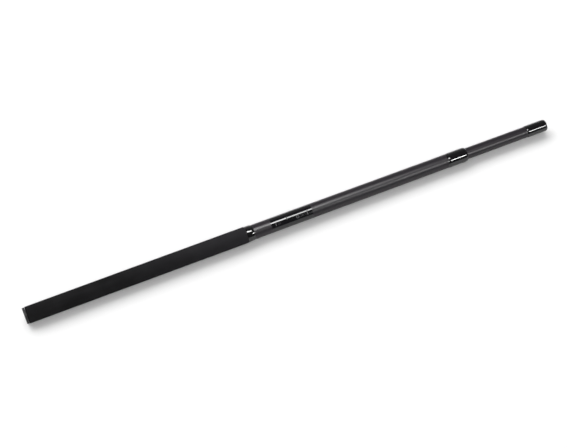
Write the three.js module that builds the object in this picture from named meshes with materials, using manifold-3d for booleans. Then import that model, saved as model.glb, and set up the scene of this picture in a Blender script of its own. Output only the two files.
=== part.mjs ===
// Telescopic landing-net handle, shown closed: a butt section with a rubber grip, a screwed-in
// butt cap, and a tip section that slides out of the butt section until the handle is 1830 long.
// Millimetres. The axis runs along +X from the butt end (X = 0) to the tip end, and +Z is up.
// The origin is the centre of the butt cap's end face.
import * as THREE from "three";
import { mergeVertices } from "three/addons/utils/BufferGeometryUtils.js";
import Module from "manifold-3d";

const wasm = await Module();
wasm.setup();

// ---- driving dimensions ----
// "start" and "end" are places along X; a name ending in R is a radius.
const CLOSED_LENGTH = 1050;
const TAPER = 0.0026; // diameter lost per mm of length, the same on both tubes, so that they jam
const TURN_FACETS = 32; // round a turned piece
const THREAD_FACETS = 16; // per turn of a thread
const ROUND_STEPS = 3; // along a rounded shoulder
const WELD_TOLERANCE = 1e-4;

const GLUE = 0.05; // radial film between bonded pieces
const FIT_GAP = 0.15; // between a part and the pocket or face it seats in
const END_GAP = 0.1; // between a tube's end face and what covers it

// Butt cap rim, and the pieces that start from it
const CAP_RIM = {
  od: 29.8,
  length: 4,
  flutes: 16,
  pointsPerFlute: 3,
  fluteDepth: 0.5,
  bevel: 0.3, // along both edges
};
const CAP_LENGTH = 20;
const BUTT_TUBE = { start: CAP_RIM.length + 0.4, end: 875.2 };
const MOUTH_OD = 26.36;
const MOUTH_ID = 24.12;
const RIM_BEVEL = { length: 1.2, depth: 0.75 }; // round the mouth

// Tip section, from the bumper that it lands on
const BUMPER_HEAD = { start: CAP_LENGTH + FIT_GAP, end: 24 };
const BUNG_FLANGE = { start: BUMPER_HEAD.end + 0.2, end: 26.4 };
const TIP_TUBE = { start: BUNG_FLANGE.end + 0.2, end: 1016 };
const TIP_BASE_OD = 24.06;
const TIP_WALL = 1.1;

// ---- tube surfaces: radius at a given x ----
const buttR = (x) => (MOUTH_OD + TAPER * (BUTT_TUBE.end - x)) / 2;
const buttBoreR = (x) => (MOUTH_ID + TAPER * (BUTT_TUBE.end - x)) / 2;
const tipR = (x) => (TIP_BASE_OD - TAPER * (x - TIP_TUBE.start)) / 2;
const tipBoreR = (x) => tipR(x) - TIP_WALL;

// The inside of whatever is bonded round a tube
const overButt = (x) => buttR(x) + GLUE;
const overTip = (x) => tipR(x) + GLUE;

// ---- materials ----
const finish = (settings) => new THREE.MeshStandardMaterial(settings);

const carbon = finish({ name: "carbon_weave", color: 0x3a393c, roughness: 0.34 });
const gripRubber = finish({ name: "grip_rubber", color: 0x262629, roughness: 0.8 });
const thread = finish({ name: "binding_thread", color: 0x141416, roughness: 0.6 });
const resin = finish({ name: "gloss_resin", color: 0x0b0b0d, roughness: 0.05 });
const film = finish({ name: "label_film", color: 0x0e0e11, roughness: 0.07 });
const nylon = finish({ name: "black_nylon", color: 0x1d1d20, roughness: 0.5 });
const alloy = finish({
  name: "anodised_alloy",
  color: 0x222226,
  roughness: 0.35,
  metalness: 0.9,
});
const brass = finish({ name: "brass", color: 0xb08d4a, roughness: 0.3, metalness: 1 });
const bumperRubber = finish({ name: "bumper_rubber", color: 0x2b2b2d, roughness: 0.9 });
const sealRubber = finish({ name: "seal_rubber", color: 0x171718, roughness: 0.55 });

// ---- shape helpers ----

// Flips every face when the signed volume shows that they point inwards.
function outward(geometry) {
  const { index } = geometry;
  const { position } = geometry.attributes;
  const corners = [new THREE.Vector3(), new THREE.Vector3(), new THREE.Vector3()];
  let volume = 0;
  for (let i = 0; i < index.count; i += 3) {
    corners.forEach((corner, k) => corner.fromBufferAttribute(position, index.getX(i + k)));
    volume += corners[0].dot(corners[1].cross(corners[2]));
  }
  if (volume < 0) {
    for (let i = 0; i < index.count; i += 3) {
      const second = index.getX(i + 1);
      index.setX(i + 1, index.getX(i + 2));
      index.setX(i + 2, second);
    }
  }
  return geometry;
}

// Shares vertices and drops faces that collapsed on the axis; keeps only positions.
function welded(geometry) {
  geometry.deleteAttribute("normal");
  geometry.deleteAttribute("uv");
  const merged = mergeVertices(geometry, WELD_TOLERANCE);
  const faces = [];
  for (let i = 0; i < merged.index.count; i += 3) {
    const face = [0, 1, 2].map((k) => merged.index.getX(i + k));
    if (new Set(face).size === 3) faces.push(...face);
  }
  merged.setIndex(faces);
  return outward(merged);
}

// A body of revolution about +X from [x, radius] pairs.
// The profile is closed unless both its ends lie on the axis.
function revolved(profile) {
  const points = profile.map(([x, radius]) => new THREE.Vector2(radius, x));
  const first = points[0];
  const last = points[points.length - 1];
  if (first.x > 0 || last.x > 0) points.push(first.clone());
  const lathe = new THREE.LatheGeometry(points, TURN_FACETS);
  lathe.rotateZ(-Math.PI / 2);
  return welded(lathe);
}

// The ridge of a right-hand thread about +X: a trapezium swept along a helix.
// halfRoot and halfCrest are its half-widths along the axis.
function threadRidge({ start, end, pitch, rootR, crestR, halfRoot, halfCrest }) {
  const section = [
    [-halfRoot, rootR],
    [-halfCrest, crestR],
    [halfCrest, crestR],
    [halfRoot, rootR],
  ];
  const steps = Math.round(((end - start) / pitch) * THREAD_FACETS);
  const positions = [];
  for (let i = 0; i <= steps; i++) {
    const angle = (i / THREAD_FACETS) * 2 * Math.PI;
    const x = start + (i / THREAD_FACETS) * pitch;
    for (const [offset, radius] of section)
      positions.push(x + offset, radius * Math.cos(angle), radius * Math.sin(angle));
  }
  const faces = [];
  for (let i = 0; i < steps; i++)
    for (let k = 0; k < 4; k++) {
      const here = i * 4 + k;
      const next = i * 4 + ((k + 1) % 4);
      faces.push(here, next, here + 4, next, next + 4, here + 4);
    }
  const last = steps * 4;
  faces.push(0, 2, 1, 0, 3, 2); // start face
  faces.push(last, last + 1, last + 2, last, last + 2, last + 3); // end face
  const geometry = new THREE.BufferGeometry();
  geometry.setAttribute("position", new THREE.Float32BufferAttribute(positions, 3));
  geometry.setIndex(faces);
  return outward(geometry);
}

const toSolid = (geometry) =>
  new wasm.Manifold(
    new wasm.Mesh({
      numProp: 3,
      vertProperties: new Float32Array(geometry.attributes.position.array),
      triVerts: new Uint32Array(geometry.index.array),
    }),
  );

function fromSolid(solid) {
  const { numVert, numProp, vertProperties, triVerts } = solid.getMesh();
  const positions = new Float32Array(numVert * 3);
  for (let i = 0; i < numVert; i++)
    positions.set(vertProperties.subarray(i * numProp, i * numProp + 3), i * 3);
  const geometry = new THREE.BufferGeometry();
  geometry.setAttribute("position", new THREE.BufferAttribute(positions, 3));
  geometry.setIndex(new THREE.BufferAttribute(new Uint32Array(triVerts), 1));
  return geometry;
}

// A named mesh whose own origin lies on the axis at x = start.
function piece(name, geometry, material, start) {
  const mesh = new THREE.Mesh(geometry, material);
  mesh.name = name;
  mesh.position.x = start;
  return mesh;
}

// A turned piece from [x, radius] pairs in the handle's frame; its origin is at the first x.
function turned(name, material, profile) {
  const start = profile[0][0];
  const local = profile.map(([x, radius]) => [x - start, radius]);
  return piece(name, revolved(local), material, start);
}

// A rounded shoulder as [x, radius] points: a quarter ellipse from the edge, level at the top.
function shoulder([edgeX, edgeR], [topX, topR]) {
  const points = [];
  for (let i = 0; i <= ROUND_STEPS; i++) {
    const angle = (i / ROUND_STEPS) * (Math.PI / 2);
    points.push([
      topX - (topX - edgeX) * Math.cos(angle),
      edgeR + (topR - edgeR) * Math.sin(angle),
    ]);
  }
  return points;
}

// A thin ring that follows the tapered surface under it.
const band = (name, material, { start, end }, surface, thick) =>
  turned(name, material, [
    [start, surface(start)],
    [start, surface(start) + thick],
    [end, surface(end) + thick],
    [end, surface(end)],
  ]);

// ---- bindings: a thread winding under a coat of clear-over-black resin ----
const WINDING_THICK = 0.22;
const RESIN_THICK = 0.26;
const RESIN_EDGE = 0.06; // height left where the resin runs out on the tube

const winding = (name, span, surface) => band(name, thread, span, surface, WINDING_THICK);

// The recess inside a resin coat, from its far end back; gap is the room at each end.
function windingRecess({ start, end }, surface, gap) {
  const overWinding = (x) => surface(x) + WINDING_THICK + GLUE;
  return [
    [end + gap, surface(end + gap)],
    [end + gap, overWinding(end)],
    [start - gap, overWinding(start)],
    [start - gap, surface(start - gap)],
  ];
}

// A resin coat, rounded at both ends. Its far edge comes down to endR, and endProfile leads
// from there back to the tube's surface.
function resinCoat({
  name,
  coat,
  wound,
  surface,
  startRound,
  endRound,
  endR = surface(coat.end) + RESIN_EDGE,
  endProfile = [[coat.end, surface(coat.end)]],
}) {
  const outer = (x) => [x, surface(x) + WINDING_THICK + GLUE + RESIN_THICK];
  return turned(name, resin, [
    [coat.start, surface(coat.start)],
    ...shoulder([coat.start, surface(coat.start) + RESIN_EDGE], outer(coat.start + startRound)),
    ...shoulder([coat.end, endR], outer(coat.end - endRound)).reverse(),
    ...endProfile,
    ...windingRecess(wound, surface, 0.3),
  ]);
}

// ---- butt section ----
const buttTube = () =>
  turned("butt_tube", carbon, [
    [BUTT_TUBE.start, buttBoreR(BUTT_TUBE.start)],
    [BUTT_TUBE.start, buttR(BUTT_TUBE.start)],
    [BUTT_TUBE.end - RIM_BEVEL.length, MOUTH_OD / 2],
    [BUTT_TUBE.end, MOUTH_OD / 2 - RIM_BEVEL.depth],
    [BUTT_TUBE.end, MOUTH_ID / 2],
  ]);

// Parallel outside, tapered bore. The rounds are lengths; the lips are end wall thicknesses.
const GRIP = {
  start: 4.6,
  end: 421.6,
  outerR: 31 / 2,
  rearRound: 2.2,
  rearLip: 0.2,
  frontRound: 1.4,
  frontLip: 0.35,
};

function gripSleeve() {
  const { start, end, outerR, rearRound, rearLip, frontRound, frontLip } = GRIP;
  return turned("grip_sleeve", gripRubber, [
    [start, overButt(start)],
    ...shoulder([start, overButt(start) + rearLip], [start + rearRound, outerR]),
    ...shoulder([end, overButt(end) + frontLip], [end - frontRound, outerR]).reverse(),
    [end, overButt(end)],
  ]);
}

const FRONT_WINDING = { start: 423.8, end: 431.8 };
const FRONT_RESIN = { start: GRIP.end + 0.4, end: 435.9 };

// A bead that is thickest near the grip and runs out along the tube.
function gripFrontResin() {
  const { start, end } = FRONT_RESIN;
  // [x, x at which the tube's surface is taken, height above that surface]
  const bead = [
    [start, start, 0],
    [start, start, 0.62],
    [start + 1.4, start, 0.96],
    [start + 4.4, start, 1],
    [start + 8, start + 8, 0.76],
    [end - 3.2, end, 0.46],
    [end - 1, end, 0.17],
    [end, end, RESIN_EDGE],
    [end, end, 0],
  ];
  return turned("grip_front_resin", resin, [
    ...bead.map(([x, surfaceX, height]) => [x, overButt(surfaceX) + height]),
    ...windingRecess(FRONT_WINDING, overButt, 0.2),
  ]);
}

const LABEL = { start: 469.4, end: 552.4 };
const LABEL_THICK = 0.12;

const MOUTH_WINDING = { start: 839, end: 871.5 };
const MOUTH_RESIN = { start: 834.6, end: BUTT_TUBE.end + 0.9 };
const MOUTH_LIP_R = 12.3;

// The coat runs on over the tube's rim, down to the lip.
function mouthResin() {
  const rimX = BUTT_TUBE.end + END_GAP;
  const mouthR = overButt(BUTT_TUBE.end);
  return resinCoat({
    name: "mouth_resin",
    coat: MOUTH_RESIN,
    wound: MOUTH_WINDING,
    surface: overButt,
    startRound: 5.5,
    endRound: 6,
    endR: MOUTH_LIP_R,
    endProfile: [
      [rimX, MOUTH_LIP_R],
      [rimX, mouthR - RIM_BEVEL.depth],
      [BUTT_TUBE.end - RIM_BEVEL.length, mouthR],
    ],
  });
}

// The cap's male thread; the ferrule's groove runs on the same helix.
const CAP_THREAD = { pitch: 3, start: 8.2, end: 15.4, rootR: 9.9, crestR: 10.75 };
const THREAD_SINK = 0.4; // overlap of a ridge or groove cutter past the surface it starts from

const FERRULE = {
  start: 6.6,
  end: 26,
  outerR: 13.09,
  minorR: 10.2,
  majorR: 11.15,
  edge: 0.3, // bevel on both outer edges
  entryBevel: 1,
  threadEnd: 20.5,
  reliefDepth: 1.3, // radial, beyond the thread
};

// Threaded ferrule bonded into the butt tube's bore.
function buttFerrule() {
  const { start, outerR, minorR, majorR, edge, entryBevel } = FERRULE;
  const length = FERRULE.end - start;
  const threadLength = FERRULE.threadEnd - start;
  const reliefR = minorR + FERRULE.reliefDepth;
  const body = revolved([
    [0, minorR + entryBevel],
    [0, outerR - edge],
    [edge, outerR],
    [length - edge, outerR],
    [length, outerR - edge],
    [length, reliefR],
    [threadLength, reliefR],
    [threadLength, minorR],
    [entryBevel, minorR],
  ]);
  // Whole turns either way of the cap thread's start keep the helix and clear both ends.
  const { pitch } = CAP_THREAD;
  const groove = threadRidge({
    start: CAP_THREAD.start - start - 2 * pitch,
    end: CAP_THREAD.start - start + 5 * pitch,
    pitch,
    rootR: minorR - THREAD_SINK,
    crestR: majorR,
    halfRoot: 1.2,
    halfCrest: 0.52,
  });
  const made = toSolid(body).subtract(toSolid(groove));
  return piece("butt_ferrule", fromSolid(made), alloy, start);
}

// ---- butt cap, with its seal and bumper ----
const CAP_NECK_R = 10;
const CAP_PILOT = { radius: 9.6, bevel: 0.6 };
const THREAD_MARGIN = 1.8; // plain root left at each end of the ridge
const CAP_CORE = { start: 5, radius: 6.4 }; // blind core that takes the bumper's stem
const O_RING = { x: 5.3, majorR: 11.1, minorR: 1, sectionFacets: 6, ringFacets: 24 };

// The fluted rim: a notch at every third point round the edge.
function capRim() {
  const { od, length, flutes, pointsPerFlute, fluteDepth, bevel } = CAP_RIM;
  const count = flutes * pointsPerFlute;
  const outline = [];
  for (let i = 0; i < count; i++) {
    const angle = (i / count) * 2 * Math.PI;
    const radius = od / 2 - (i % pointsPerFlute === 0 ? fluteDepth : 0);
    outline.push(new THREE.Vector2(radius * Math.cos(angle), radius * Math.sin(angle)));
  }
  const rim = new THREE.ExtrudeGeometry(new THREE.Shape(outline), {
    depth: length - 2 * bevel,
    bevelThickness: bevel,
    bevelSize: bevel,
    bevelOffset: -bevel,
    bevelSegments: 1,
  });
  rim.translate(0, 0, bevel);
  rim.rotateY(Math.PI / 2);
  return welded(rim);
}

function buttCap() {
  const { pitch, start, end, rootR, crestR } = CAP_THREAD;
  const bodyStart = CAP_RIM.length - 0.5; // sunk into the rim
  const coreEnd = CAP_LENGTH + 1; // cuts clear through the end face
  const rootStart = start - THREAD_MARGIN;
  const rootEnd = end + THREAD_MARGIN;
  const body = revolved([
    [bodyStart, 0],
    [bodyStart, CAP_NECK_R],
    [rootStart - 0.1, CAP_NECK_R],
    [rootStart, rootR],
    [rootEnd, rootR],
    [rootEnd + 0.3, CAP_PILOT.radius],
    [CAP_LENGTH - CAP_PILOT.bevel, CAP_PILOT.radius],
    [CAP_LENGTH, CAP_PILOT.radius - CAP_PILOT.bevel],
    [CAP_LENGTH, 0],
  ]);
  const screw = threadRidge({
    start,
    end,
    pitch,
    rootR: rootR - THREAD_SINK,
    crestR,
    halfRoot: 1.18,
    halfCrest: 0.45,
  });
  const core = revolved([
    [CAP_CORE.start, 0],
    [CAP_CORE.start, CAP_CORE.radius],
    [coreEnd, CAP_CORE.radius],
    [coreEnd, 0],
  ]);
  const made = toSolid(capRim())
    .add(toSolid(body))
    .add(toSolid(screw))
    .subtract(toSolid(core));
  return piece("butt_cap", fromSolid(made), nylon, 0);
}

function capORing() {
  const { x, majorR, minorR, sectionFacets, ringFacets } = O_RING;
  const torus = new THREE.TorusGeometry(majorR, minorR, sectionFacets, ringFacets);
  torus.rotateY(Math.PI / 2);
  return piece("cap_o_ring", welded(torus), sealRubber, x);
}

// A stem in the cap's core under a wider head.
function capBumper() {
  const stemStart = CAP_CORE.start + 3;
  const stemR = CAP_CORE.radius - FIT_GAP;
  const headR = 9.2;
  const headBevel = 0.8;
  return turned("cap_bumper", bumperRubber, [
    [stemStart, 0],
    [stemStart, CAP_CORE.radius - 0.8],
    [stemStart + 1, stemR],
    [BUMPER_HEAD.start, stemR],
    [BUMPER_HEAD.start, headR],
    [BUMPER_HEAD.end - headBevel, headR],
    [BUMPER_HEAD.end, headR - headBevel],
    [BUMPER_HEAD.end, 0],
  ]);
}

// ---- tip section ----

// A flanged plug in the base of the tip tube, hollow from its inner end.
function baseBung() {
  const flangeR = 11.3;
  const flangeBevel = 0.5;
  const stemR = 10.81;
  const stemEnd = 41;
  const hollowR = stemR - 2.4;
  const hollowStart = BUNG_FLANGE.end + 1;
  return turned("base_bung", nylon, [
    [BUNG_FLANGE.start, 0],
    [BUNG_FLANGE.start, flangeR - flangeBevel],
    [BUNG_FLANGE.start + flangeBevel, flangeR],
    [BUNG_FLANGE.end, flangeR],
    [BUNG_FLANGE.end, stemR],
    [stemEnd - 1.2, stemR],
    [stemEnd, stemR - 0.8],
    [stemEnd, hollowR],
    [hollowStart, hollowR],
    [hollowStart, 0],
  ]);
}

function tipTube() {
  const { start, end } = TIP_TUBE;
  const baseBevel = { length: 0.6, depth: 0.3 };
  return turned("tip_tube", carbon, [
    [start, tipBoreR(start)],
    [start, tipR(start) - baseBevel.depth],
    [start + baseBevel.length, tipR(start)],
    [end, tipR(end)],
    [end, tipBoreR(end)],
  ]);
}

const TIP_WINDING = { start: 1010.6, end: 1045.2 };

const tipResin = () =>
  resinCoat({
    name: "tip_resin",
    coat: { start: 1006.7, end: 1048.3 },
    wound: TIP_WINDING,
    surface: overTip,
    startRound: 4.4,
    endRound: 2.2,
  });

const FITTING = {
  start: TIP_TUBE.end - 20,
  spigotR: 9.57, // bonded in the tube's bore
  spigotBevel: 0.6,
  headStart: TIP_TUBE.end + END_GAP,
  edge: 0.4,
  pocketStart: 1023,
};
const INSERT = { start: FITTING.pocketStart + 0.3, end: CLOSED_LENGTH - 0.4, radius: 6 };

// A spigot in the tube, and a head that carries the tube's line to the end and holds the insert.
function tipEndFitting() {
  const { start, spigotR, spigotBevel, headStart, edge, pocketStart } = FITTING;
  const pocketR = INSERT.radius + FIT_GAP;
  return turned("tip_end_fitting", alloy, [
    [start, 0],
    [start, spigotR - spigotBevel],
    [start + spigotBevel, spigotR],
    [headStart, spigotR],
    [headStart, tipR(headStart)],
    [CLOSED_LENGTH - edge, tipR(CLOSED_LENGTH)],
    [CLOSED_LENGTH, tipR(CLOSED_LENGTH) - edge],
    [CLOSED_LENGTH, pocketR],
    [pocketStart, pocketR],
    [pocketStart, 0],
  ]);
}

// A 3/8 inch, 20 threads per inch socket, bored to its minor radius; its thread is left out.
const SOCKET = { boreR: 3.97, mouthR: 4.95, mouthDepth: 1, depth: 20, coneDepth: 1.2 };

function threadInsert() {
  const { start, end, radius } = INSERT;
  const startBevel = 0.3;
  const endBevel = 0.2;
  const socketFloor = end - SOCKET.depth;
  return turned("thread_insert", brass, [
    [start, 0],
    [start, radius - startBevel],
    [start + startBevel, radius],
    [end - endBevel, radius],
    [end, radius - endBevel],
    [end, SOCKET.mouthR],
    [end - SOCKET.mouthDepth, SOCKET.boreR],
    [socketFloor, SOCKET.boreR],
    [socketFloor - SOCKET.coneDepth, 0],
  ]);
}

// ---- assembly ----
const buttSection = new THREE.Group();
buttSection.add(
  buttTube(),
  gripSleeve(),
  winding("grip_front_binding", FRONT_WINDING, overButt),
  gripFrontResin(),
  band("label_film", film, LABEL, overButt, LABEL_THICK),
  winding("mouth_binding", MOUTH_WINDING, overButt),
  mouthResin(),
  buttFerrule(),
);

const capSection = new THREE.Group();
capSection.add(buttCap(), capORing(), capBumper());

const tipSection = new THREE.Group();
tipSection.add(
  baseBung(),
  tipTube(),
  winding("tip_binding", TIP_WINDING, overTip),
  tipResin(),
  tipEndFitting(),
  threadInsert(),
);

const handle = new THREE.Group();
handle.add(buttSection, capSection, tipSection);

export default handle;
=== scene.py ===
# A two-section woven-carbon pole lying along the X axis, with its butt end at the origin.
# From x = 0 towards +X: screw cap, rubber grip, label and mouth collar of the butt section. The
# slimmer tip section runs inside the butt section and ends in a brass socket that faces +X.
# Outlines and sizes are in millimetres; Blender's objects, shaders and lights are in metres.
import math

import bpy
import numpy as np
from mathutils import Matrix, Vector


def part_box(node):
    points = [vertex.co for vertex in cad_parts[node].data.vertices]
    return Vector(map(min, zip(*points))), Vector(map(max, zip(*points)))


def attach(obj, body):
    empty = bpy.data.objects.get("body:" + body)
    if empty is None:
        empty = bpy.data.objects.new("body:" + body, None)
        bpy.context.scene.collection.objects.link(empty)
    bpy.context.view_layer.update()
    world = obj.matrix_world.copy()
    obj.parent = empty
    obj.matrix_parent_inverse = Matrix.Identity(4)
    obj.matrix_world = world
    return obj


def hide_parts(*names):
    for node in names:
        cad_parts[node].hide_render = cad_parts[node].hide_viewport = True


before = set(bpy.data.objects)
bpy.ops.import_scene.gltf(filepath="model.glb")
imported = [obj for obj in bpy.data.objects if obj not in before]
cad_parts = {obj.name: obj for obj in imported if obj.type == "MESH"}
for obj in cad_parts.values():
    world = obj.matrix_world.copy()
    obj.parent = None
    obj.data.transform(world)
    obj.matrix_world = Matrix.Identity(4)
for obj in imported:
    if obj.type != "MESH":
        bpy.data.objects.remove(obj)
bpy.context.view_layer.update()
MM = 0.001
TAU = 2 * math.pi


# ---------------------------------------------------------------- shared sizes
def span(node):
    """Start, end and largest radius of a CAD node, in mm."""
    low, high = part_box(node)
    return low.x / MM, high.x / MM, high.z / MM


GLUE = 0.05  # film between bonded pieces
TAPER = 0.0026  # loss of diameter per mm along both tubes
BUTT_WALL, TIP_WALL = 1.12, 1.1

BUTT_X0, BUTT_X1, BUTT_R = span("butt_tube")
TIP_X0, TIP_X1, TIP_R = span("tip_tube")
GRIP_X0, GRIP_X1, GRIP_R = span("grip_sleeve")
BEAD_X0, BEAD_X1, _ = span("grip_front_resin")
LABEL_X0, LABEL_X1, _ = span("label_film")
MOUTH_RESIN_X0, _, _ = span("mouth_resin")
TIP_RESIN_X0, _, _ = span("tip_resin")

TOW_WIDTH = 1.66  # along the tube
BUTT_TOWS, TIP_TOWS = 50, 42  # round each tube
THREAD_PITCH = 0.42  # binding thread, one turn to the next
THREAD_HEIGHT = 0.22
MOUTH_BEVEL_LENGTH, MOUTH_BEVEL_DEPTH = 1.2, 0.75  # at the +X rim of the butt tube
SCREW_PITCH, SCREW_START, SCREW_END = 3.0, 8.2, 15.4  # butt cap's screw


def butt_radius(x):
    return BUTT_R - TAPER / 2 * (x - BUTT_X0)


def butt_bore(x):
    return butt_radius(x) - BUTT_WALL


def tip_radius(x):
    return TIP_R - TAPER / 2 * (x - TIP_X0)


def tip_bore(x):
    return tip_radius(x) - TIP_WALL


# ---------------------------------------------------------------- mesh building
def mesh_object(name, co, quads, tris, material, body, replaced, crease):
    """A smooth mesh, faces turned outwards, riding on its body and standing for its CAD node."""
    quads = np.asarray(quads, np.int64).reshape(-1, 4)
    tris = np.asarray(tris, np.int64).reshape(-1, 3)
    a, b, c = co[np.concatenate([quads[:, [0, 1, 2]], quads[:, [0, 2, 3]], tris]).T]
    if np.einsum("ij,ij->", a, np.cross(b, c)) < 0:  # negative volume: inside out
        quads, tris = quads[:, ::-1], tris[:, ::-1]
    loops = np.concatenate([quads.ravel(), tris.ravel()])
    sizes = np.concatenate([np.full(len(quads), 4), np.full(len(tris), 3)])
    starts = np.cumsum(sizes) - sizes
    mesh = bpy.data.meshes.new(name)
    mesh.vertices.add(len(co))
    mesh.vertices.foreach_set("co", co.astype(np.float32).ravel())
    mesh.loops.add(len(loops))
    mesh.loops.foreach_set("vertex_index", loops.astype(np.int32))
    mesh.polygons.add(len(sizes))
    mesh.polygons.foreach_set("loop_start", starts.astype(np.int32))
    mesh.update(calc_edges=True)
    mesh.validate()
    mesh.polygons.foreach_set("use_smooth", np.ones(len(mesh.polygons), bool))
    mesh.set_sharp_from_angle(angle=math.radians(crease))
    mesh.materials.append(material)
    ob = bpy.data.objects.new(name, mesh)
    bpy.context.scene.collection.objects.link(ob)
    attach(ob, body)
    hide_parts(replaced)


def same_place(a, b):
    return abs(a[0] - b[0]) <= 1e-5 and abs(a[1] - b[1]) <= 1e-5


def clean_rows(rows):
    """Rows as (x, radius, weight), without repeats and with long faces held by extra rows."""
    rows = [tuple(row) + (0.0,) if len(row) == 2 else tuple(row) for row in rows]
    kept = [rows[0]]
    for row in rows[1:]:
        if not same_place(row, kept[-1]):
            kept.append(row)
    on_axis = kept[0][1] < 1e-6 and kept[-1][1] < 1e-6
    if not on_axis and same_place(kept[0], kept[-1]):
        kept.pop()
    # rows just inside both ends of a long face keep its shading flat up to the rounded edge
    held = [kept[0]]
    for p, q in zip(kept[:-1], kept[1:]):
        length = math.hypot(q[0] - p[0], q[1] - p[1])
        if length > 1.5:
            for t in (0.25 / length, 1 - 0.25 / length):
                held.append(tuple(p[i] + (q[i] - p[i]) * t for i in range(3)))
        held.append(q)
    return held, on_axis


def turned(name, rows, segments, material, body, replaced, relief=None, crease=38):
    """A body of revolution about X.

    rows: (x, radius) or (x, radius, weight) in mm; weight scales relief(x, angle), in mm.
    A section that starts and ends on the axis is capped there; any other closes on itself.
    """
    rows, on_axis = clean_rows(rows)
    angles = np.arange(segments) * TAU / segments
    co, rings = [], []
    count = 0
    for x, radius, weight in rows:
        if radius < 1e-6:
            co.append(np.array([[x, 0.0, 0.0]]))
            rings.append(np.full(segments, count))
            count += 1
            continue
        radii = np.full(segments, radius)
        if weight:
            radii = radii + weight * relief(x, angles)
        ring = (np.full(segments, x), radii * np.cos(angles), radii * np.sin(angles))
        co.append(np.stack(ring, 1))
        rings.append(count + np.arange(segments))
        count += segments
    quads, tris = [], []
    pairs = list(zip(rings[:-1], rings[1:]))
    if not on_axis:
        pairs.append((rings[-1], rings[0]))
    for p, q in pairs:
        p_next, q_next = np.roll(p, -1), np.roll(q, -1)
        if p[0] == p[1]:
            tris.append(np.stack([p, q_next, q], 1))
        elif q[0] == q[1]:
            tris.append(np.stack([p, p_next, q], 1))
        else:
            quads.append(np.stack([p, p_next, q_next, q], 1))
    mesh_object(
        name, np.concatenate(co) * MM, np.concatenate(quads),
        np.concatenate(tris) if tris else [], material, body, replaced, crease,
    )


def soft(points, steps=4):
    """An outline with its corners rounded. points: (x, radius) or (x, radius, corner radius)."""
    points = [tuple(p) + (0.0,) if len(p) == 2 else tuple(p) for p in points]
    out = []
    for i, (x, r, corner) in enumerate(points):
        if corner <= 0:
            out.append((x, r))
            continue
        back = np.array(points[i - 1][:2]) - (x, r)
        ahead = np.array(points[(i + 1) % len(points)][:2]) - (x, r)
        back_length, ahead_length = np.linalg.norm(back), np.linalg.norm(ahead)
        back, ahead = back / back_length, ahead / ahead_length
        half = math.acos(max(-1.0, min(1.0, float(back @ ahead)))) / 2
        if half > math.radians(88):  # almost straight: nothing to round
            out.append((x, r))
            continue
        # the arc may use up to 0.48 of each side
        reach = min(corner / math.tan(half), back_length * 0.48, ahead_length * 0.48)
        arc_radius = reach * math.tan(half)
        bisector = (back + ahead) / np.linalg.norm(back + ahead)
        centre = np.array((x, r)) + bisector * (arc_radius / math.sin(half))
        first = np.array((x, r)) + back * reach - centre
        last = np.array((x, r)) + ahead * reach - centre
        start = math.atan2(first[1], first[0])
        turn = (math.atan2(last[1], last[0]) - start + math.pi) % TAU - math.pi
        for step in range(steps + 1):
            a = start + turn * step / steps
            out.append((centre[0] + arc_radius * math.cos(a), centre[1] + arc_radius * math.sin(a)))
    return out


def rounded_end(x, length, low, top, steps, weight=0.0):
    """Quarter ellipse from (x, low) up to (x + length, top); the weight grows with it."""
    rows = []
    for i in range(steps + 1):
        a = i / steps * math.pi / 2
        rows.append((
            x + length - length * math.cos(a),
            low + (top - low) * math.sin(a),
            weight * i / steps,
        ))
    return rows


def line_rows(start, end, step, weight=0.0):
    """Rows on a straight line, about step apart, both ends included."""
    dx, dr = end[0] - start[0], end[1] - start[1]
    n = max(1, round(math.hypot(dx, dr) / step))
    return [(start[0] + dx * i / n, start[1] + dr * i / n, weight) for i in range(n + 1)]


def stations(x0, x1, step):
    return [x for x, _, _ in line_rows((x0, 0), (x1, 0), step)]


def smooth01(t):
    t = min(1.0, max(0.0, t))
    return t * t * (3 - 2 * t)


def flowing(knots, t):
    """Height at t of a smooth curve through knots of (place, height)."""
    at = [knot[0] for knot in knots]
    height = [knot[1] for knot in knots]
    last = len(at) - 1
    i = int(np.clip(np.searchsorted(at, t) - 1, 0, last - 1))

    def slope(a, b):
        return (height[b] - height[a]) / (at[b] - at[a])

    width = at[i + 1] - at[i]
    slope0 = slope(max(i - 1, 0), i + 1)
    slope1 = slope(i, min(i + 2, last))
    s = (t - at[i]) / width
    return (
        (2 * s**3 - 3 * s**2 + 1) * height[i] + (s**3 - 2 * s**2 + s) * width * slope0
        + (-2 * s**3 + 3 * s**2) * height[i + 1] + (s**3 - s**2) * width * slope1
    )


def thread_ridge(x, angle, start, pitch, crest, foot):
    """Trapezium thread: 1 up to crest from the turn's centre line, 0 beyond foot, in mm."""
    turn = (x - start) / pitch - angle / TAU
    away = np.abs((turn + 0.5) % 1.0 - 0.5) * pitch
    return np.clip((foot - away) / (foot - crest), 0.0, 1.0)


# ---------------------------------------------------------------- shader building
def operator(kind, swapped=False):
    def apply(self, other):
        pair = (other, self) if swapped else (self, other)
        return self.shader.math(kind, *pair)
    return apply


class Value:
    """A node's output; arithmetic on it adds Math nodes."""

    def __init__(self, shader, socket):
        self.shader = shader
        self.socket = socket

    __add__ = operator("ADD")
    __radd__ = operator("ADD", swapped=True)
    __sub__ = operator("SUBTRACT")
    __rsub__ = operator("SUBTRACT", swapped=True)
    __mul__ = operator("MULTIPLY")
    __truediv__ = operator("DIVIDE")
    __pow__ = operator("POWER")
    __mod__ = operator("FLOORED_MODULO")
    __lt__ = operator("LESS_THAN")
    __gt__ = operator("GREATER_THAN")


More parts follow.
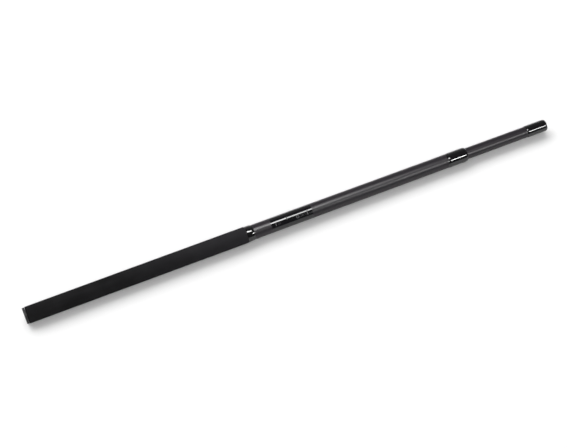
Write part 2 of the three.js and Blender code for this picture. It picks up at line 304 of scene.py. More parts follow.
class Shader:
    """A short way to write the node tree of a material or world."""

    def __init__(self, owner, output_kind):
        owner.use_nodes = True
        self.tree = owner.node_tree
        self.tree.nodes.clear()
        self.output = self.node(output_kind)

    def node(self, kind, **properties):
        node = self.tree.nodes.new(kind)
        for key, value in properties.items():
            setattr(node, key, value)
        return node

    def put(self, socket, value):
        """Link a Value, or set a number or an RGB colour."""
        if isinstance(value, Value):
            self.tree.links.new(value.socket, socket)
        else:
            socket.default_value = (*value, 1) if isinstance(value, tuple) else value

    def fill(self, node, values, output=0):
        """Fill the node's first inputs and return one of its outputs."""
        for socket, value in zip(node.inputs, values):
            self.put(socket, value)
        return Value(self, node.outputs[output])

    def surface(self, node):
        self.put(self.output.inputs["Surface"], Value(self, node.outputs[0]))

    def math(self, operation, *values, clamp=False):
        return self.fill(self.node("ShaderNodeMath", operation=operation, use_clamp=clamp), values)

    def split(self, vector):
        node = self.node("ShaderNodeSeparateXYZ")
        self.put(node.inputs[0], vector)
        return [Value(self, socket) for socket in node.outputs]

    def vector(self, x, y, z=0.0):
        return self.fill(self.node("ShaderNodeCombineXYZ"), (x, y, z))

    def angle(self, y, z):
        """Angle about X, from +Y towards +Z."""
        return self.math("ARCTAN2", z, y)

    def noise(self, vector, scale=1.0, detail=2.0, roughness=0.5):
        node = self.node("ShaderNodeTexNoise")
        self.put(node.inputs["Vector"], vector)
        self.put(node.inputs["Scale"], scale)
        self.put(node.inputs["Detail"], detail)
        self.put(node.inputs["Roughness"], roughness)
        return Value(self, node.outputs["Fac"])

    def remap(self, value, source, target=(0.0, 1.0), curve="SMOOTHSTEP"):
        node = self.node("ShaderNodeMapRange", interpolation_type=curve)
        return self.fill(node, (value, *source, *target))

    def mix(self, factor, a, b):
        node = self.node("ShaderNodeMix", data_type="RGBA")
        for index, value in ((0, factor), (6, a), (7, b)):
            self.put(node.inputs[index], value)
        return Value(self, node.outputs[2])

    def bump(self, height, distance, strength=1.0):
        node = self.node("ShaderNodeBump")
        self.put(node.inputs["Height"], height)
        self.put(node.inputs["Distance"], distance)
        self.put(node.inputs["Strength"], strength)
        # not every Blender version has this input
        if "Filter Width" in node.inputs:
            node.inputs["Filter Width"].default_value = 0.1
        return Value(self, node.outputs[0])


class Material(Shader):
    """A material whose textures sit in object coordinates, in metres."""

    def __init__(self, name, preview):
        self.material = bpy.data.materials.new(name)
        self.material.diffuse_color = (*preview, 1)
        super().__init__(self.material, "ShaderNodeOutputMaterial")
        self.place = Value(self, self.node("ShaderNodeTexCoord").outputs["Object"])

    def finish(self, **inputs):
        """Principled surface; underscores stand for the spaces in its input names."""
        node = self.node("ShaderNodeBsdfPrincipled")
        for key, value in inputs.items():
            self.put(node.inputs[key.replace("_", " ")], value)
        self.surface(node)
        return self.material


def scaled(colour, factor):
    return tuple(c * factor for c in colour)


# ---------------------------------------------------------------- materials
def carbon(name, tows):
    """Plain-woven carbon, satin: tows that dome over each other, each with its own filaments."""
    grey = (0.0158, 0.0119, 0.0168)
    shader = Material(name, preview=(0.05, 0.05, 0.055))
    x, y, z = shader.split(shader.place)
    along = x / (TOW_WIDTH * MM)
    around = shader.angle(y, z) * (tows / TAU)
    cell = shader.math("FLOOR", along) + shader.math("FLOOR", around)
    axial = cell % 2.0 < 0.5  # 1 where the tow on top runs along the tube
    off_along = shader.math("FRACT", along) - 0.5
    off_around = shader.math("FRACT", around) - 0.5
    dome = (
        shader.math("COSINE", off_along * math.pi) * shader.math("COSINE", off_around * math.pi)
    )
    # filaments: noise stretched along the tow on top; the last coordinate sets the pattern apart
    stretched, packed = 0.35, 9.0
    axial_lines = shader.noise(
        shader.vector(along * stretched, around * packed, 3.0), roughness=0.6)
    hoop_lines = shader.noise(
        shader.vector(along * packed, around * stretched, 7.0), roughness=0.6)
    filaments = axial_lines * axial + hoop_lines * (1.0 - axial)
    # one value for each tow crossing, and slow drift along the tube
    crossing_node = shader.node("ShaderNodeTexWhiteNoise", noise_dimensions="2D")
    shader.put(
        crossing_node.inputs["Vector"],
        shader.vector(shader.math("FLOOR", along), shader.math("FLOOR", around)))
    crossing = Value(shader, crossing_node.outputs["Value"])
    drift = shader.noise(shader.place, scale=14.0)
    # tone: share of crossing and filaments, a painted sheen on the tows along the tube, and painted
    # shade darkening the gaps between tows
    tone = (crossing * 0.35 + filaments * 0.9 + axial * 0.35) * shader.remap(
        dome, source=(0.0, 1.0), target=(0.45, 1.0), curve="LINEAR")
    return shader.finish(
        Base_Color=shader.mix(
            shader.math("MULTIPLY", tone, 0.8, clamp=True), scaled(grey, 0.35), scaled(grey, 1.25)),
        # a mean of 0.375, varied by filaments and drift
        Roughness=0.375 + (filaments - 0.5) * 0.10 + (drift - 0.5) * 0.08,
        # heights in mm
        Normal=shader.bump(dome * 0.030 + filaments * 0.016, distance=MM),
        IOR=1.5, Specular_IOR_Level=0.395,
    )


def grip_rubber():
    """Matt rubber: black, fine pores, lighter in worn patches, with a painted sheen that lightens
    it towards +X.
    """
    black, worn = (0.0047, 0.0047, 0.0049), (0.0093, 0.0090, 0.0098)
    pore = (0.006, 0.006, 0.0065)
    painted_sheen_dim, painted_sheen_bright = (0.0170, 0.0163, 0.0184), (0.0242, 0.0231, 0.0264)
    painted_sheen_span = (0.15, 0.42)  # where the painted sheen starts and is strongest, m
    shader = Material("grip_rubber_matt", preview=(0.02, 0.02, 0.022))
    x, y, z = shader.split(shader.place)
    pores = shader.noise(shader.place, scale=2600.0, detail=3.0, roughness=0.6)
    cloud = shader.noise(shader.place, scale=26.0, detail=3.0, roughness=0.55)
    # streaks: noise frequency per metre along the sleeve and per radian round it
    streak = shader.noise(shader.vector(x * 8.0, shader.angle(y, z) * 1.2), detail=3.0)
    wear = shader.math("ADD", cloud * 0.7, streak * 0.5, clamp=True)
    base = shader.mix(shader.remap(wear, source=(0.35, 0.85)), black, worn)
    base = shader.mix(shader.remap(pores, source=(0.30, 0.55), target=(0.35, 0.0)), base, pore)
    # painted sheen: the colour lightens towards +X, mottled by the cloud noise
    base = shader.mix(
        shader.remap(x, source=painted_sheen_span, target=(0.0, 0.75), curve="LINEAR"),
        base, shader.mix(cloud, painted_sheen_dim, painted_sheen_bright))
    return shader.finish(
        Base_Color=base,
        Roughness=shader.remap(wear, source=(0.3, 0.9), target=(0.95, 0.85)),
        Normal=shader.bump(pores, distance=0.05 * MM, strength=0.8),
        Specular_IOR_Level=0.12,
    )


def gloss_resin(name, seed):
    """Thick gloss resin over black thread: slow waves, and the thread's turns just showing."""
    shader = Material(name, preview=(0.01, 0.01, 0.01))
    x, y, z = shader.split(shader.place)
    turns = shader.math("SINE", x * (TAU / (THREAD_PITCH * MM)) + shader.angle(y, z))
    # wave frequency per metre, along the tube and across it
    waves = shader.noise(shader.vector(x * 90.0, y * 60.0, z * 60.0 + seed), detail=1.0)
    return shader.finish(
        Base_Color=shader.mix(
            shader.remap(turns, source=(-1.0, 1.0), curve="LINEAR"),
            (0.0035, 0.0035, 0.004), (0.0065, 0.0065, 0.0072)),
        Roughness=0.045,
        Normal=shader.bump(waves, distance=0.06 * MM, strength=0.3),
        IOR=1.55,
    )


def label_print():
    """Gloss black film with a plain band of small ticks, lines and a ring in faint grey."""
    film, ink, pale = (0.0045, 0.0045, 0.0055), (0.075, 0.075, 0.08), (0.03, 0.03, 0.032)
    middle = (LABEL_X0 + LABEL_X1) / 2
    band = 9.0  # from the top line (+Z) round to the print's centre line, towards -Y, mm
    rim = 1.1  # width of the paler rims, mm
    shader = Material("gloss_label_film", preview=(0.012, 0.012, 0.014))
    x, y, z = shader.split(shader.place)
    along = (x - middle * MM) * 1000.0  # mm from the label's middle
    around = shader.math("ARCTAN2", y * -1.0, z) * butt_radius(middle) - band

    def bar(centre_along, centre_around, half_length, half_height):
        over_length = shader.math("ABSOLUTE", along - centre_along) - half_length
        over_height = shader.math("ABSOLUTE", around - centre_around) - half_height
        return shader.math("MAXIMUM", over_length, over_height) < 0.0

    def ring(centre_along, centre_around, radius, half_width):
        away = shader.math(
            "SQRT", (along - centre_along) ** 2.0 + (around - centre_around) ** 2.0)
        return shader.math("ABSOLUTE", away - radius) < half_width

    # shape, then centre along and round, then its two sizes, mm
    marks = (
        (bar, -32.5, 0.0, 0.7, 2.6),
        (bar, -26.0, 1.2, 3.0, 0.16),
        (bar, -26.0, -1.2, 3.0, 0.16),
        (ring, 11.0, 0.0, 2.3, 0.55),
        (bar, 20.0, 1.2, 3.6, 0.16),
        (bar, 20.0, -1.2, 3.6, 0.16),
        (bar, 30.7, 0.2, 0.7, 2.8),
    )
    matt_marks = ((bar, -9.5, -4.6, 1.0, 2.6), (bar, 31.4, -4.8, 0.9, 2.4))

    def union(table):
        shapes = [shape(*sizes) for shape, *sizes in table]
        mask = shapes[0]
        for other in shapes[1:]:
            mask = shader.math("MAXIMUM", mask, other)
        return mask

    printed = union(marks)
    matt = union(matt_marks)
    rims = shader.math("ABSOLUTE", along) > (LABEL_X1 - LABEL_X0) / 2 - rim
    fine = shader.noise(shader.place, scale=900.0)
    base = shader.mix(printed, film, ink)
    base = shader.mix(rims * 0.5, base, pale)
    base = shader.mix(matt, base, pale)
    waves = shader.noise(shader.place, scale=45.0, detail=1.0)
    return shader.finish(
        Base_Color=base,
        # gloss film, duller ink, dullest matt marks, a trace of fine variation
        Roughness=0.05 + printed * 0.30 + matt * 0.50 + fine * 0.01,
        # ink stands 0.03 of the wave height proud
        Normal=shader.bump(printed * 0.03 + waves, distance=0.05 * MM, strength=0.35),
        IOR=1.5,
    )


def winding_thread():
    """Black thread with twisted plies and loose fibres."""
    plies = 220.0  # twist of the thread, radians per radian round the tube
    shader = Material("black_binding_thread", preview=(0.01, 0.01, 0.01))
    x, y, z = shader.split(shader.place)
    turn = x / (THREAD_PITCH * MM) - shader.angle(y, z) / TAU
    twist = shader.math("SINE", turn * TAU + shader.angle(y, z) * plies)
    # noise frequency per turn of thread and per radian round the tube
    fibre = shader.noise(shader.vector(turn * 6.0, shader.angle(y, z) * 30.0), detail=3.0)
    # painted shade: the colour darkens in the grooves between the twisted plies
    lit = shader.remap(twist, source=(-1.0, 1.0), target=(0.6, 1.0), curve="LINEAR")
    return shader.finish(
        Base_Color=shader.mix(fibre * lit, (0.004, 0.004, 0.0045), (0.024, 0.024, 0.026)),
        Roughness=0.55,
        Normal=shader.bump(twist, distance=0.02 * MM, strength=0.6),
        Sheen_Weight=0.15,
    )


def moulded_nylon():
    """Injection-moulded nylon: fine grain and slight sink."""
    colour = (0.011, 0.011, 0.012)
    shader = Material("moulded_nylon", preview=colour)
    grain = shader.noise(shader.place, scale=1800.0, detail=3.0, roughness=0.55)
    sink = shader.noise(shader.place, scale=160.0, detail=1.0)
    return shader.finish(
        Base_Color=shader.mix(
            shader.remap(grain, source=(0.35, 0.75)), colour, scaled(colour, 1.7)),
        Roughness=0.42 + grain * 0.14,  # smoothest, plus the grain's share
        # the sink is 1.5 times as deep as the grain
        Normal=shader.bump(grain + sink * 1.5, distance=0.02 * MM, strength=0.7),
        Specular_IOR_Level=0.5,
    )


def lathe_metal(name, colour, tint, roughness, metallic):
    """Turned metal: concentric tool marks, seen both on faces and on barrels."""
    marks = 9000.0  # frequency of the tool marks, per metre
    shader = Material(name, preview=colour)
    x, y, z = shader.split(shader.place)
    radius = shader.math("SQRT", y ** 2.0 + z ** 2.0)
    line = shader.noise(shader.vector(x * marks, radius * marks), roughness=0.6)
    stain = shader.noise(shader.place, scale=220.0, detail=3.0, roughness=0.6)
    return shader.finish(
        Base_Color=shader.mix((line + stain) * 0.5, colour, tint),
        Metallic=metallic,
        Roughness=roughness - 0.05 + line * 0.12,  # spread by the tool marks
        Normal=shader.bump(line, distance=0.006 * MM, strength=0.8),
    )


def soft_rubber(name, colour, roughness, cell_scale):
    """Rubber with a fine cell structure."""
    shader = Material(name, preview=colour)
    node = shader.node("ShaderNodeTexVoronoi")
    shader.put(node.inputs["Vector"], shader.place)
    shader.put(node.inputs["Scale"], cell_scale)
    cells = Value(shader, node.outputs["Distance"])
    cloud = shader.noise(shader.place, scale=300.0)
    return shader.finish(
        Base_Color=shader.mix(
            shader.remap(cells, source=(0.1, 0.7)), scaled(colour, 0.6), scaled(colour, 1.4)),
        Roughness=roughness - 0.05 + cloud * 0.1,  # spread by the clouds
        Normal=shader.bump(cells, distance=0.04 * MM, strength=0.6),
        Specular_IOR_Level=0.4,
    )


BUTT_CARBON = carbon("woven_carbon_butt", BUTT_TOWS)
TIP_CARBON = carbon("woven_carbon_tip", TIP_TOWS)
GRIP_RUBBER = grip_rubber()
NYLON = moulded_nylon()
ALLOY = lathe_metal(
    "anodised_black_alloy", colour=(0.030, 0.030, 0.034), tint=(0.055, 0.055, 0.062),
    roughness=0.34, metallic=0.9)
BRASS = lathe_metal(
    "turned_brass", colour=(0.50, 0.34, 0.125), tint=(0.68, 0.50, 0.22),
    roughness=0.26, metallic=1.0)
BUMPER_RUBBER = soft_rubber(
    "bumper_foam_rubber", colour=(0.020, 0.020, 0.021), roughness=0.85, cell_scale=1500.0)
SEAL_RUBBER = soft_rubber(
    "seal_nitrile", colour=(0.010, 0.010, 0.010), roughness=0.5, cell_scale=3200.0)
THREAD = winding_thread()


# ---------------------------------------------------------------- carbon tubes
def weave(tows):
    dome_height, sink = 0.05, 0.02

    def relief(x, angle):
        off_along = (x / TOW_WIDTH) % 1.0 - 0.5
        off_around = (angle * tows / TAU) % 1.0 - 0.5
        return dome_height * np.cos(math.pi * off_along) * np.cos(math.pi * off_around) - sink
    return relief


def woven_zone(x0, x1, radius):
    """Rows two to a tow, on the tow centres and the lines between tows."""
    step = TOW_WIDTH / 2
    first = math.ceil((x0 + 0.1) / step)
    last = math.floor((x1 - 0.1) / step)
    rows = [(i * step, radius(i * step), 1.0) for i in range(first, last + 1)]
    return [(x0, radius(x0), 0.0)] + rows + [(x1, radius(x1), 0.0)]


def butt_tube():
    """Woven where it is bare, plain under the grip, label and resin."""
    plain_x0, plain_x1 = 10, BEAD_X1 - 1.0
    collar = MOUTH_RESIN_X0
    rim_r, rim_bore = butt_radius(BUTT_X1), butt_bore(BUTT_X1)
    rows = [
        (BUTT_X0, butt_bore(BUTT_X0)),
        (BUTT_X0, butt_radius(BUTT_X0) - 0.25),
        (BUTT_X0 + 0.25, butt_radius(BUTT_X0)),
    ]
    rows += line_rows((plain_x0, butt_radius(plain_x0)), (plain_x1, butt_radius(plain_x1)), 60)
    rows += woven_zone(BEAD_X1 - 0.5, LABEL_X0 + 0.5, butt_radius)
    rows += woven_zone(LABEL_X1 - 0.5, collar + 1.0, butt_radius)
    rows += [(collar + 2, butt_radius(collar + 2))]
    rows += soft([
        (collar + 3, butt_radius(collar + 3)),
        (BUTT_X1 - MOUTH_BEVEL_LENGTH, rim_r, 0.3),
        (BUTT_X1, rim_r - MOUTH_BEVEL_DEPTH, 0.15),
        (BUTT_X1, rim_bore, 0.12),
        (BUTT_X1 - 30, butt_bore(BUTT_X1 - 30)),
    ])
    rows += [(200, butt_bore(200))]
    turned(
        "woven_butt_tube", rows, BUTT_TOWS * 3, BUTT_CARBON,
        "butt_section", "butt_tube", relief=weave(BUTT_TOWS))


def tip_tube():
    rows = [
        (TIP_X0, tip_bore(TIP_X0)),
        (TIP_X0, tip_radius(TIP_X0) - 0.3),
        (TIP_X0 + 0.6, tip_radius(TIP_X0 + 0.6)),
        (60, tip_radius(60)),
    ]
    rows += woven_zone(96, TIP_RESIN_X0 + 1.0, tip_radius)
    rows += [
        (TIP_RESIN_X0 + 2, tip_radius(TIP_RESIN_X0 + 2)),
        (TIP_X1, tip_radius(TIP_X1)),
        (TIP_X1, tip_bore(TIP_X1)),
    ]
    turned(
        "woven_tip_tube", rows, TIP_TOWS * 2, TIP_CARBON,
        "tip_section", "tip_tube", relief=weave(TIP_TOWS))


# ---------------------------------------------------------------- grip sleeve
def grip_sleeve():
    """Sleeve with rounded ends, covered in pips that fade out towards both ends."""
    pip_pitch, pips_round, pip_height = 2.6, 36, 0.11
    rear, front = 2.2, 1.4  # lengths of the rounded ends at -X and +X
    fade = 3.0
    rear_bore, front_bore = butt_radius(GRIP_X0) + GLUE, butt_radius(GRIP_X1) + GLUE

    def pips(x, angle):
        wave = np.cos(TAU * (x - GRIP_X0) / pip_pitch) * np.cos(pips_round * angle)
        return pip_height * wave - pip_height

    rows = [(GRIP_X0, rear_bore), (GRIP_X0, rear_bore + 0.12)]
    rows += rounded_end(GRIP_X0, rear, rear_bore + 0.2, GRIP_R, 12)[1:]
    step = pip_pitch / 4
    first = math.ceil((GRIP_X0 + rear - GRIP_X0) / step) + 1
    last = math.floor((GRIP_X1 - front - GRIP_X0) / step)
    for i in range(first, last + 1):
        x = GRIP_X0 + i * step
        fade_rear = smooth01((x - GRIP_X0 - rear) / fade)
        fade_front = smooth01((GRIP_X1 - front - x + 0.6) / fade)
        rows.append((x, GRIP_R, fade_rear * fade_front))
    rows += rounded_end(GRIP_X1, -front, front_bore + 0.35, GRIP_R, 10)[::-1]
    rows += [(GRIP_X1, front_bore)]
    turned(
        "textured_grip_sleeve", rows, pips_round * 4, GRIP_RUBBER,
        "butt_section", "grip_sleeve", relief=pips)


# ---------------------------------------------------------------- thread bindings
def thread_turns(name, node, radius, body):
    groove_depth = 0.09
    x0, x1, _ = span(node)

    def relief(x, angle):
        turn = (x - x0) / THREAD_PITCH - angle / TAU
        return -groove_depth * np.abs(np.sin(math.pi * turn))

    rows = [(x0, radius(x0) + GLUE)]
    rows += [
        (x, radius(x) + GLUE + THREAD_HEIGHT - 0.01, 1.0)
        for x in stations(x0, x1, THREAD_PITCH / 4)
    ]
    rows += [(x1, radius(x1) + GLUE)]
    turned(name, rows, 64, THREAD, body, node, relief=relief, crease=75)


# ---------------------------------------------------------------- resin over the bindings
def thread_recess(binding, radius, gap):
    """Hollow on the underside of a resin coat that clears the thread binding."""
    x0, x1, _ = span(binding)
    cover = THREAD_HEIGHT + GLUE
    return [
        (x1 + gap, radius(x1 + gap) + GLUE),
        (x1 + gap, radius(x1) + GLUE + cover),
        (x0 - gap, radius(x0) + GLUE + cover),
        (x0 - gap, radius(x0 - gap) + GLUE),
    ]


def resin_collar(name, node, binding, radius, body, material, foot, end_length, lip=None):
    """Gloss coat that climbs along foot, runs level, and rounds down at its +X end.

    foot: (mm from the start, height over the tube). lip: radius where the coat runs down over
    the butt tube's rim.
    """
    x0, x1, _ = span(node)
    foot_start, foot_end = foot[0][0], foot[-1][0]

    def inner(x):
        return radius(x) + GLUE

    def outer(x):
        return inner(x) + foot[-1][1]

    rows = [(x0 + foot_start, inner(x0))]
    rows += [
        (x0 + t, inner(x0 + t) + flowing(foot, t)) for t in np.linspace(foot_start, foot_end, 31)
    ]
    rows += [(x, outer(x)) for x in stations(x0 + foot_end, x1 - end_length, 1.0)[1:-1]]
    low = lip or inner(x1) + 0.06
    rows += rounded_end(x1, -end_length, low, outer(x1 - end_length), 16)[::-1]
    if lip:
        rows += [
            (BUTT_X1 + 0.1, lip),
            (BUTT_X1 + 0.1, inner(BUTT_X1) - MOUTH_BEVEL_DEPTH),
            (BUTT_X1 - MOUTH_BEVEL_LENGTH, inner(BUTT_X1)),
        ]
    else:
        rows += [(x1, inner(x1))]
    rows += thread_recess(binding, radius, gap=0.3)
    turned(name, rows, 128, material, body, node, crease=50)


def mouth_collar():
    foot = [(0, 0.04), (1.3, 0.10), (2.5, 0.24), (4.0, 0.50), (4.8, 0.60), (5.8, 0.64)]
    resin_collar(
        "mouth_gloss_collar", "mouth_resin", "mouth_binding", butt_radius, "butt_section",
        gloss_resin("gloss_resin_mouth", seed=3.0), foot, end_length=6.0, lip=12.3)


def tip_collar():
    foot = [
        (0.6, 0.03), (0.9, 0.20), (1.2, 0.33), (2.5, 0.68),
        (2.9, 0.74), (3.4, 0.76), (4.0, 0.76), (4.4, 0.76),
    ]
    resin_collar(
        "tip_gloss_collar", "tip_resin", "tip_binding", tip_radius, "tip_section",
        gloss_resin("gloss_resin_tip", seed=8.0), foot, end_length=2.2)


def grip_front_bead():
    """Bead at the grip's +X end: highest near the rubber, running out along the tube."""
    x0, x1 = BEAD_X0, BEAD_X1
    # x, height over the tube
    profile = [
        (x0, 0.58), (x0 + 0.4, 0.80), (x0 + 1.4, 1.0), (x0 + 3.0, 1.06), (x0 + 5.0, 1.06),
        (x0 + 7.0, 1.01), (x1 - 5.0, 0.945), (x1 - 4.0, 0.86), (x1 - 3.4, 0.77),
        (x1 - 3.0, 0.70), (x1 - 1.7, 0.466), (x1 - 0.7, 0.286), (x1 - 0.4, 0.232),
        (x1 - 0.2, 0.15), (x1, 0.05),
    ]
    rows = [(x0, butt_radius(x0) + GLUE)]
    rows += [
        (x, butt_radius(x) + GLUE + flowing(profile, x)) for x in np.linspace(x0, x1, 90)
    ]
    rows += [(x1, butt_radius(x1) + GLUE)]
    rows += thread_recess("grip_front_binding", butt_radius, gap=0.2)
    turned(
        "grip_front_gloss_bead", rows, 128, gloss_resin("gloss_resin_grip_front", seed=5.0),
        "butt_section", "grip_front_resin", crease=50)


# ---------------------------------------------------------------- label film
def label_film():
    thickness = 0.12
    inner0, inner1 = butt_radius(LABEL_X0) + GLUE, butt_radius(LABEL_X1) + GLUE
    rows = soft([
        (LABEL_X0, inner0),
        (LABEL_X0, inner0 + thickness, 0.05),
        (LABEL_X1, inner1 + thickness, 0.05),
        (LABEL_X1, inner1),
    ], 3)
    turned(
        "printed_label_film", rows, 128, label_print(),
        "butt_section", "label_film", crease=50)


# ---------------------------------------------------------------- screw end
def butt_ferrule():
    """Ring in the butt end, its bore cut with the cap's thread."""
    minor, major = 10.2, 11.15  # thread radii
    thread_end = 20.5
    x0, x1, radius = span("butt_ferrule")

    def groove(x, angle):
        return (major - minor) * thread_ridge(
            x, angle, SCREW_START, SCREW_PITCH, crest=0.52, foot=0.98)

    rows = soft([
        (x0, minor + 1.0, 0.1), (x0, radius, 0.3), (x1, radius, 0.3), (x1, minor + 1.3, 0.15),
        (thread_end, minor + 1.3), (thread_end, minor, 0.1),
    ], 3)
    rows += line_rows((thread_end - 0.2, minor), (x0 + 1.1, minor), 0.11, 1.0)
    rows += [(x0 + 1.0, minor + 0.1)]
    turned(
        "threaded_butt_ferrule", rows, 96, ALLOY,
        "butt_section", "butt_ferrule", relief=groove)


def butt_cap():
    """Fluted rim, neck, screw and hollow core, the core open towards +X."""
    rim_r, rim_length = 14.9, 4.0
    flutes, flute_depth = 16, 0.5
    core_r, ridge_height = 9.9, 0.85  # screw
    neck_r = 10.0
    hollow_r, hollow_floor = 6.4, 5.0
    x0, x1, _ = span("butt_cap")

    def relief(x, angle):
        if x < rim_length + 0.01:
            off = (angle * flutes / TAU + 0.5) % 1.0 - 0.5
            flute = np.cos(np.clip(off / 0.30, -1, 1) * math.pi / 2)
            return -flute_depth * np.clip(flute, 0, 1) ** 1.4
        # the screw runs out at both ends
        run_in = np.clip((x - (SCREW_START - 0.9)) / 1.0, 0, 1)
        run_out = np.clip(((SCREW_END + 0.9) - x) / 1.0, 0, 1)
        return ridge_height * run_in * run_out * thread_ridge(
            x, angle, SCREW_START, SCREW_PITCH, crest=0.45, foot=0.93)

    rows = [(x0, 0.0), (x0, 3.0)]
    # ring groove in the end face
    rows += soft([(x0, 10.2), (x0 + 0.35, 10.6, 0.1), (x0 + 0.35, 11.2, 0.1), (x0, 11.6)], 2)
    rows += [(x0, 12.6)]
    rows += rounded_end(x0, 0.45, rim_r - 0.45, rim_r, 6, 1.0)
    rows += line_rows((x0 + 0.5, rim_r), (x0 + rim_length - 0.4, rim_r), 0.4, 1.0)
    rows += rounded_end(x0 + rim_length, -0.35, rim_r - 0.35, rim_r, 5, 1.0)[::-1]
    rows += [
        (rim_length, 12.5), (rim_length, neck_r + 0.25), (rim_length + 0.2, neck_r),
        (SCREW_START - 1.9, neck_r), (SCREW_START - 1.8, core_r),
    ]
    rows += line_rows((SCREW_START - 1.7, core_r), (SCREW_END + 1.7, core_r), 0.12, 1.0)
    rows += soft([
        (SCREW_END + 1.8, core_r), (SCREW_END + 2.1, core_r - 0.3), (x1, core_r - 0.3, 0.6),
        (x1, hollow_r, 0.3), (hollow_floor, hollow_r, 0.8), (hollow_floor, 0.0),
    ])
    turned(
        "fluted_butt_cap", rows, 192, NYLON,
        "screw_cap", "butt_cap", relief=relief)


def cap_bumper():
    """Plug with a wider, dished head at +X."""
    stem_r, head_x = 6.25, 20.15
    x0, x1, radius = span("cap_bumper")
    rows = soft([
        (x0, 0.0), (x0, 5.6, 0.4), (x0 + 1.0, stem_r, 0.6), (head_x, stem_r, 0.2),
        (head_x, radius, 0.3), (x1, radius, 1.1), (x1, 3.2, 0.3), (x1 - 0.5, 2.7, 0.3),
        (x1 - 0.5, 0.0),
    ], 5)
    turned("cap_bumper_pad", rows, 96, BUMPER_RUBBER, "screw_cap", "cap_bumper")


def cap_o_ring():
    x0, x1, radius = span("cap_o_ring")
    half = (x1 - x0) / 2
    section_r = 0.97 * half
    rows = [
        ((x0 + x1) / 2 - section_r * math.cos(a), radius - half + section_r * math.sin(a))
        for a in np.linspace(0, TAU, 25)
    ]
    turned("cap_sealing_ring", rows, 96, SEAL_RUBBER, "cap_seal", "cap_o_ring")


# ---------------------------------------------------------------- ends of the tip section
def base_bung():
    """Bung at the tip section's -X end: flange, and a hollow stem with a ring groove."""
    flange_x, hollow_x = 26.4, 27.4
    stem_r = 10.81
    groove_r, hollow_r = stem_r - 0.35, stem_r - 2.4
    x0, x1, radius = span("base_bung")
    rows = soft([
        (x0, 0.0), (x0, 4.0, 0.2), (x0 + 0.3, 4.4, 0.2), (x0 + 0.3, 8.6, 0.2), (x0, 9.0, 0.2),
        (x0, radius, 0.6), (flange_x, radius, 0.3), (flange_x, stem_r, 0.15),
        (30.0, stem_r), (30.4, groove_r, 0.2), (31.6, groove_r, 0.2), (32.0, stem_r),
        (x1, stem_r, 1.0), (x1, hollow_r, 0.4), (hollow_x, hollow_r, 0.8), (hollow_x, 0.0),
    ])
    turned("tip_base_bung", rows, 96, NYLON, "tip_carrier", "base_bung")


def tip_end_fitting():
    """Spigot inside the tip tube, a collar level with its outside, and a pocket from +X."""
    spigot_r, pocket_r, pocket_floor = 9.57, 6.15, 1023.0
    x0, x1, _ = span("tip_end_fitting")
    collar_x = TIP_X1 + 0.1
    rows = soft([
        (x0, 0.0), (x0, spigot_r, 0.6), (collar_x, spigot_r, 0.1),
        (collar_x, tip_radius(collar_x), 0.05), (x1, tip_radius(x1), 0.55),
        # shallow ring groove in the end face
        (x1, 8.9, 0.05), (x1 - 0.12, 8.8, 0.05), (x1 - 0.12, 8.5, 0.05), (x1, 8.4, 0.05),
        (x1, pocket_r, 0.25), (pocket_floor, pocket_r, 0.2), (pocket_floor, 0.0),
    ])
    turned(
        "turned_tip_end_fitting", rows, 128, ALLOY,
        "tip_section", "tip_end_fitting")


def thread_insert():
    """Brass insert with a threaded blind hole from +X."""
    pitch, minor, major = 1.27, 3.97, 4.78
    mouth_r, depth = 4.95, 20.0
    x0, x1, radius = span("thread_insert")

    def socket(x, angle):
        fade = smooth01((x - (x1 - 17.5)) / 1.0)
        return fade * (major - minor) * thread_ridge(x, angle, x1, pitch, crest=0.06, foot=0.56)

    rows = soft([(x0, 0.0), (x0, radius, 0.3), (x1, radius, 0.25), (x1, mouth_r, 0.1)])
    rows += [(x1 - 0.55, 4.5, 0.3)]
    rows += line_rows((x1 - 1.05, minor), (x1 - 18.5, minor), 0.085, 1.0)
    rows += [(x1 - depth, minor), (x1 - depth - 1.2, 0.0)]
    turned(
        "brass_thread_insert", rows, 96, BRASS,
        "tip_section", "thread_insert", relief=socket)


butt_tube()
tip_tube()
grip_sleeve()
thread_turns("grip_front_thread_turns", "grip_front_binding", butt_radius, "butt_section")
thread_turns("mouth_thread_turns", "mouth_binding", butt_radius, "butt_section")
thread_turns("tip_thread_turns", "tip_binding", tip_radius, "tip_section")
mouth_collar()
tip_collar()
grip_front_bead()
label_film()
butt_ferrule()
butt_cap()
cap_bumper()
cap_o_ring()
base_bung()
tip_end_fitting()
thread_insert()


# ---------------------------------------------------------------- floor, camera, lights
scene = bpy.context.scene
scene.view_settings.view_transform = "Standard"
scene.view_settings.look = "None"
scene.view_settings.exposure = 0.0
scene.view_settings.gamma = 1.0


def add_object(name, data):
    ob = bpy.data.objects.new(name, data)
    scene.collection.objects.link(ob)
    return ob


def studio_floor():
    """White paper that the grip rests on."""
    half, z = 60.0, -GRIP_R * MM
    corners = [(-half, -half, z), (half, -half, z), (half, half, z), (-half, half, z)]
    mesh = bpy.data.meshes.new("studio_floor")
    mesh.from_pydata(corners, [], [(0, 1, 2, 3)])
    floor = add_object("studio_floor", mesh)
    shader = Material("studio_floor_paper", preview=(0.85, 0.85, 0.85))
    grain = shader.noise(shader.place, scale=500.0)
    paper = shader.node("ShaderNodeBsdfDiffuse")
    shader.put(
        paper.inputs["Color"], shader.mix(grain, (0.80, 0.80, 0.80), (0.82, 0.82, 0.82)))
    shader.surface(paper)
    mesh.materials.append(shader.material)


# The camera looks towards +Y and down, from the -Y side; the butt end is nearest.
AZIMUTH, ELEVATION = math.radians(-23.772), math.radians(56.7)
VIEW = Vector((
    -math.sin(AZIMUTH) * math.cos(ELEVATION),
    math.cos(AZIMUTH) * math.cos(ELEVATION),
    -math.sin(ELEVATION),
))


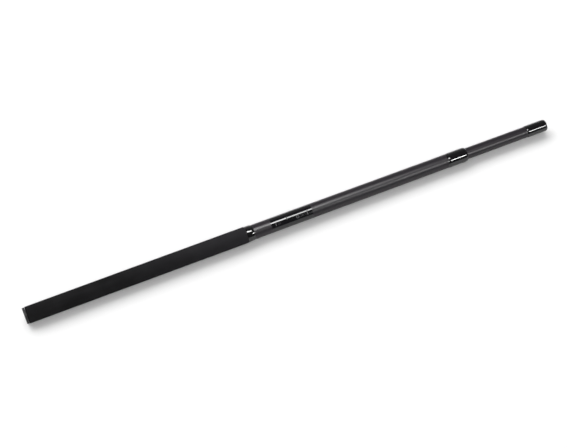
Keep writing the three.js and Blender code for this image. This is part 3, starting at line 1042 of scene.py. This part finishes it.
def studio_camera():
    # camera's place from the butt end, along its own axes, mm
    to_right, to_up, to_back = 454.7991, 161.8851, 2233.34
    right = Vector((math.cos(AZIMUTH), math.sin(AZIMUTH), 0.0))
    up = right.cross(VIEW)
    data = bpy.data.cameras.new("studio_camera")
    data.sensor_fit = "HORIZONTAL"
    data.sensor_width = 36.0
    data.lens = 80.742857
    data.clip_start, data.clip_end = 0.01, 200.0
    camera = add_object("studio_camera", data)
    pose = Matrix((right, up, -VIEW)).transposed().to_4x4()
    pose.translation = (right * to_right + up * to_up - VIEW * to_back) * MM
    camera.matrix_world = pose
    scene.camera = camera


def strip(name, x0, x1, y, z, width, radiance):
    """Softbox from x0 to x1, aimed square at the X axis; seen only in reflections."""
    data = bpy.data.lights.new(name, "AREA")
    data.shape = "RECTANGLE"
    data.size, data.size_y = x1 - x0, width
    data.energy = radiance * math.pi * (x1 - x0) * width
    ob = add_object(name, data)
    aim = Vector((0.0, -y, -z)).normalized()
    side = Vector((1, 0, 0))
    ob.matrix_world = Matrix((side, (-aim).cross(side), -aim)).transposed().to_4x4()
    ob.location = ((x0 + x1) / 2, y, z)
    ob.visible_diffuse = False


def soft_sun(name, energy, spread, towards):
    data = bpy.data.lights.new(name, "SUN")
    data.energy = energy
    data.angle = math.radians(spread)
    ob = add_object(name, data)
    ob.rotation_euler = Vector(towards).normalized().to_track_quat("Z", "Y").to_euler()
    ob.visible_glossy = False


def studio_lights():
    # soft key from behind (+Y) and above: white floor, soft shadow in front of the pole
    soft_sun("soft_key_left", energy=1.646, spread=43, towards=(-0.56, 0.61, 0.75))
    soft_sun("soft_key_right", energy=1.426, spread=43, towards=(0.04, 0.61, 0.75))
    # fill from the camera, so that its own shadow falls behind the pole
    soft_sun("camera_fill", energy=0.99, spread=24, towards=-VIEW)

    # x start, x end, radiance; the overhead strip fades towards +X
    overhead = ((0.20, 0.74, 28.0), (0.74, 0.85, 21.0), (0.85, 0.98, 16.5), (0.98, 1.16, 9.8))
    front = ((1.05, 2.15, 21.0), (1.51, 1.71, 46.0), (1.82, 2.03, 37.0))
    for i, (x0, x1, radiance) in enumerate(overhead):
        # each one lies further towards -Y along the pole
        y = -0.11 - 0.30 * ((x0 + x1) / 2 - 0.86)
        strip("strip_overhead_%d" % i, x0, x1, y=y, z=1.5, width=0.45, radiance=radiance)
    for i, (x0, x1, radiance) in enumerate(front):
        # a small step apart, so that overlapping strips do not coincide
        strip(
            "strip_front_%d" % i, x0, x1, y=-1.43 - 0.01 * i, z=1.30 - 0.01 * i,
            width=0.17, radiance=radiance)


def studio_world():
    """White to the camera, dim fill for the rest; reflections see a dark ceiling and pale wall."""
    fill, ceiling, wall_gain = 0.362, 0.10, 0.30
    wall_tilt = (math.radians(38), math.radians(62))  # from overhead towards +Y
    world = bpy.data.worlds.new("studio_world")
    scene.world = world
    shader = Shader(world, "ShaderNodeOutputWorld")
    rays = shader.node("ShaderNodeLightPath").outputs
    camera_ray = Value(shader, rays["Is Camera Ray"])
    glossy_ray = Value(shader, rays["Is Glossy Ray"])
    direction = Value(shader, shader.node("ShaderNodeTexCoord").outputs["Generated"])
    _, y, z = shader.split(direction)
    wall = shader.remap(shader.math("ARCTAN2", y, z), source=wall_tilt)
    glossy_level = wall * wall_gain + ceiling
    level = camera_ray * (1.0 - fill) + fill
    level = level * (1.0 - glossy_ray) + glossy_level * glossy_ray
    background = shader.node("ShaderNodeBackground")
    shader.fill(background, ((1, 1, 1), level))
    shader.surface(background)


studio_floor()
studio_camera()
studio_lights()
studio_world()
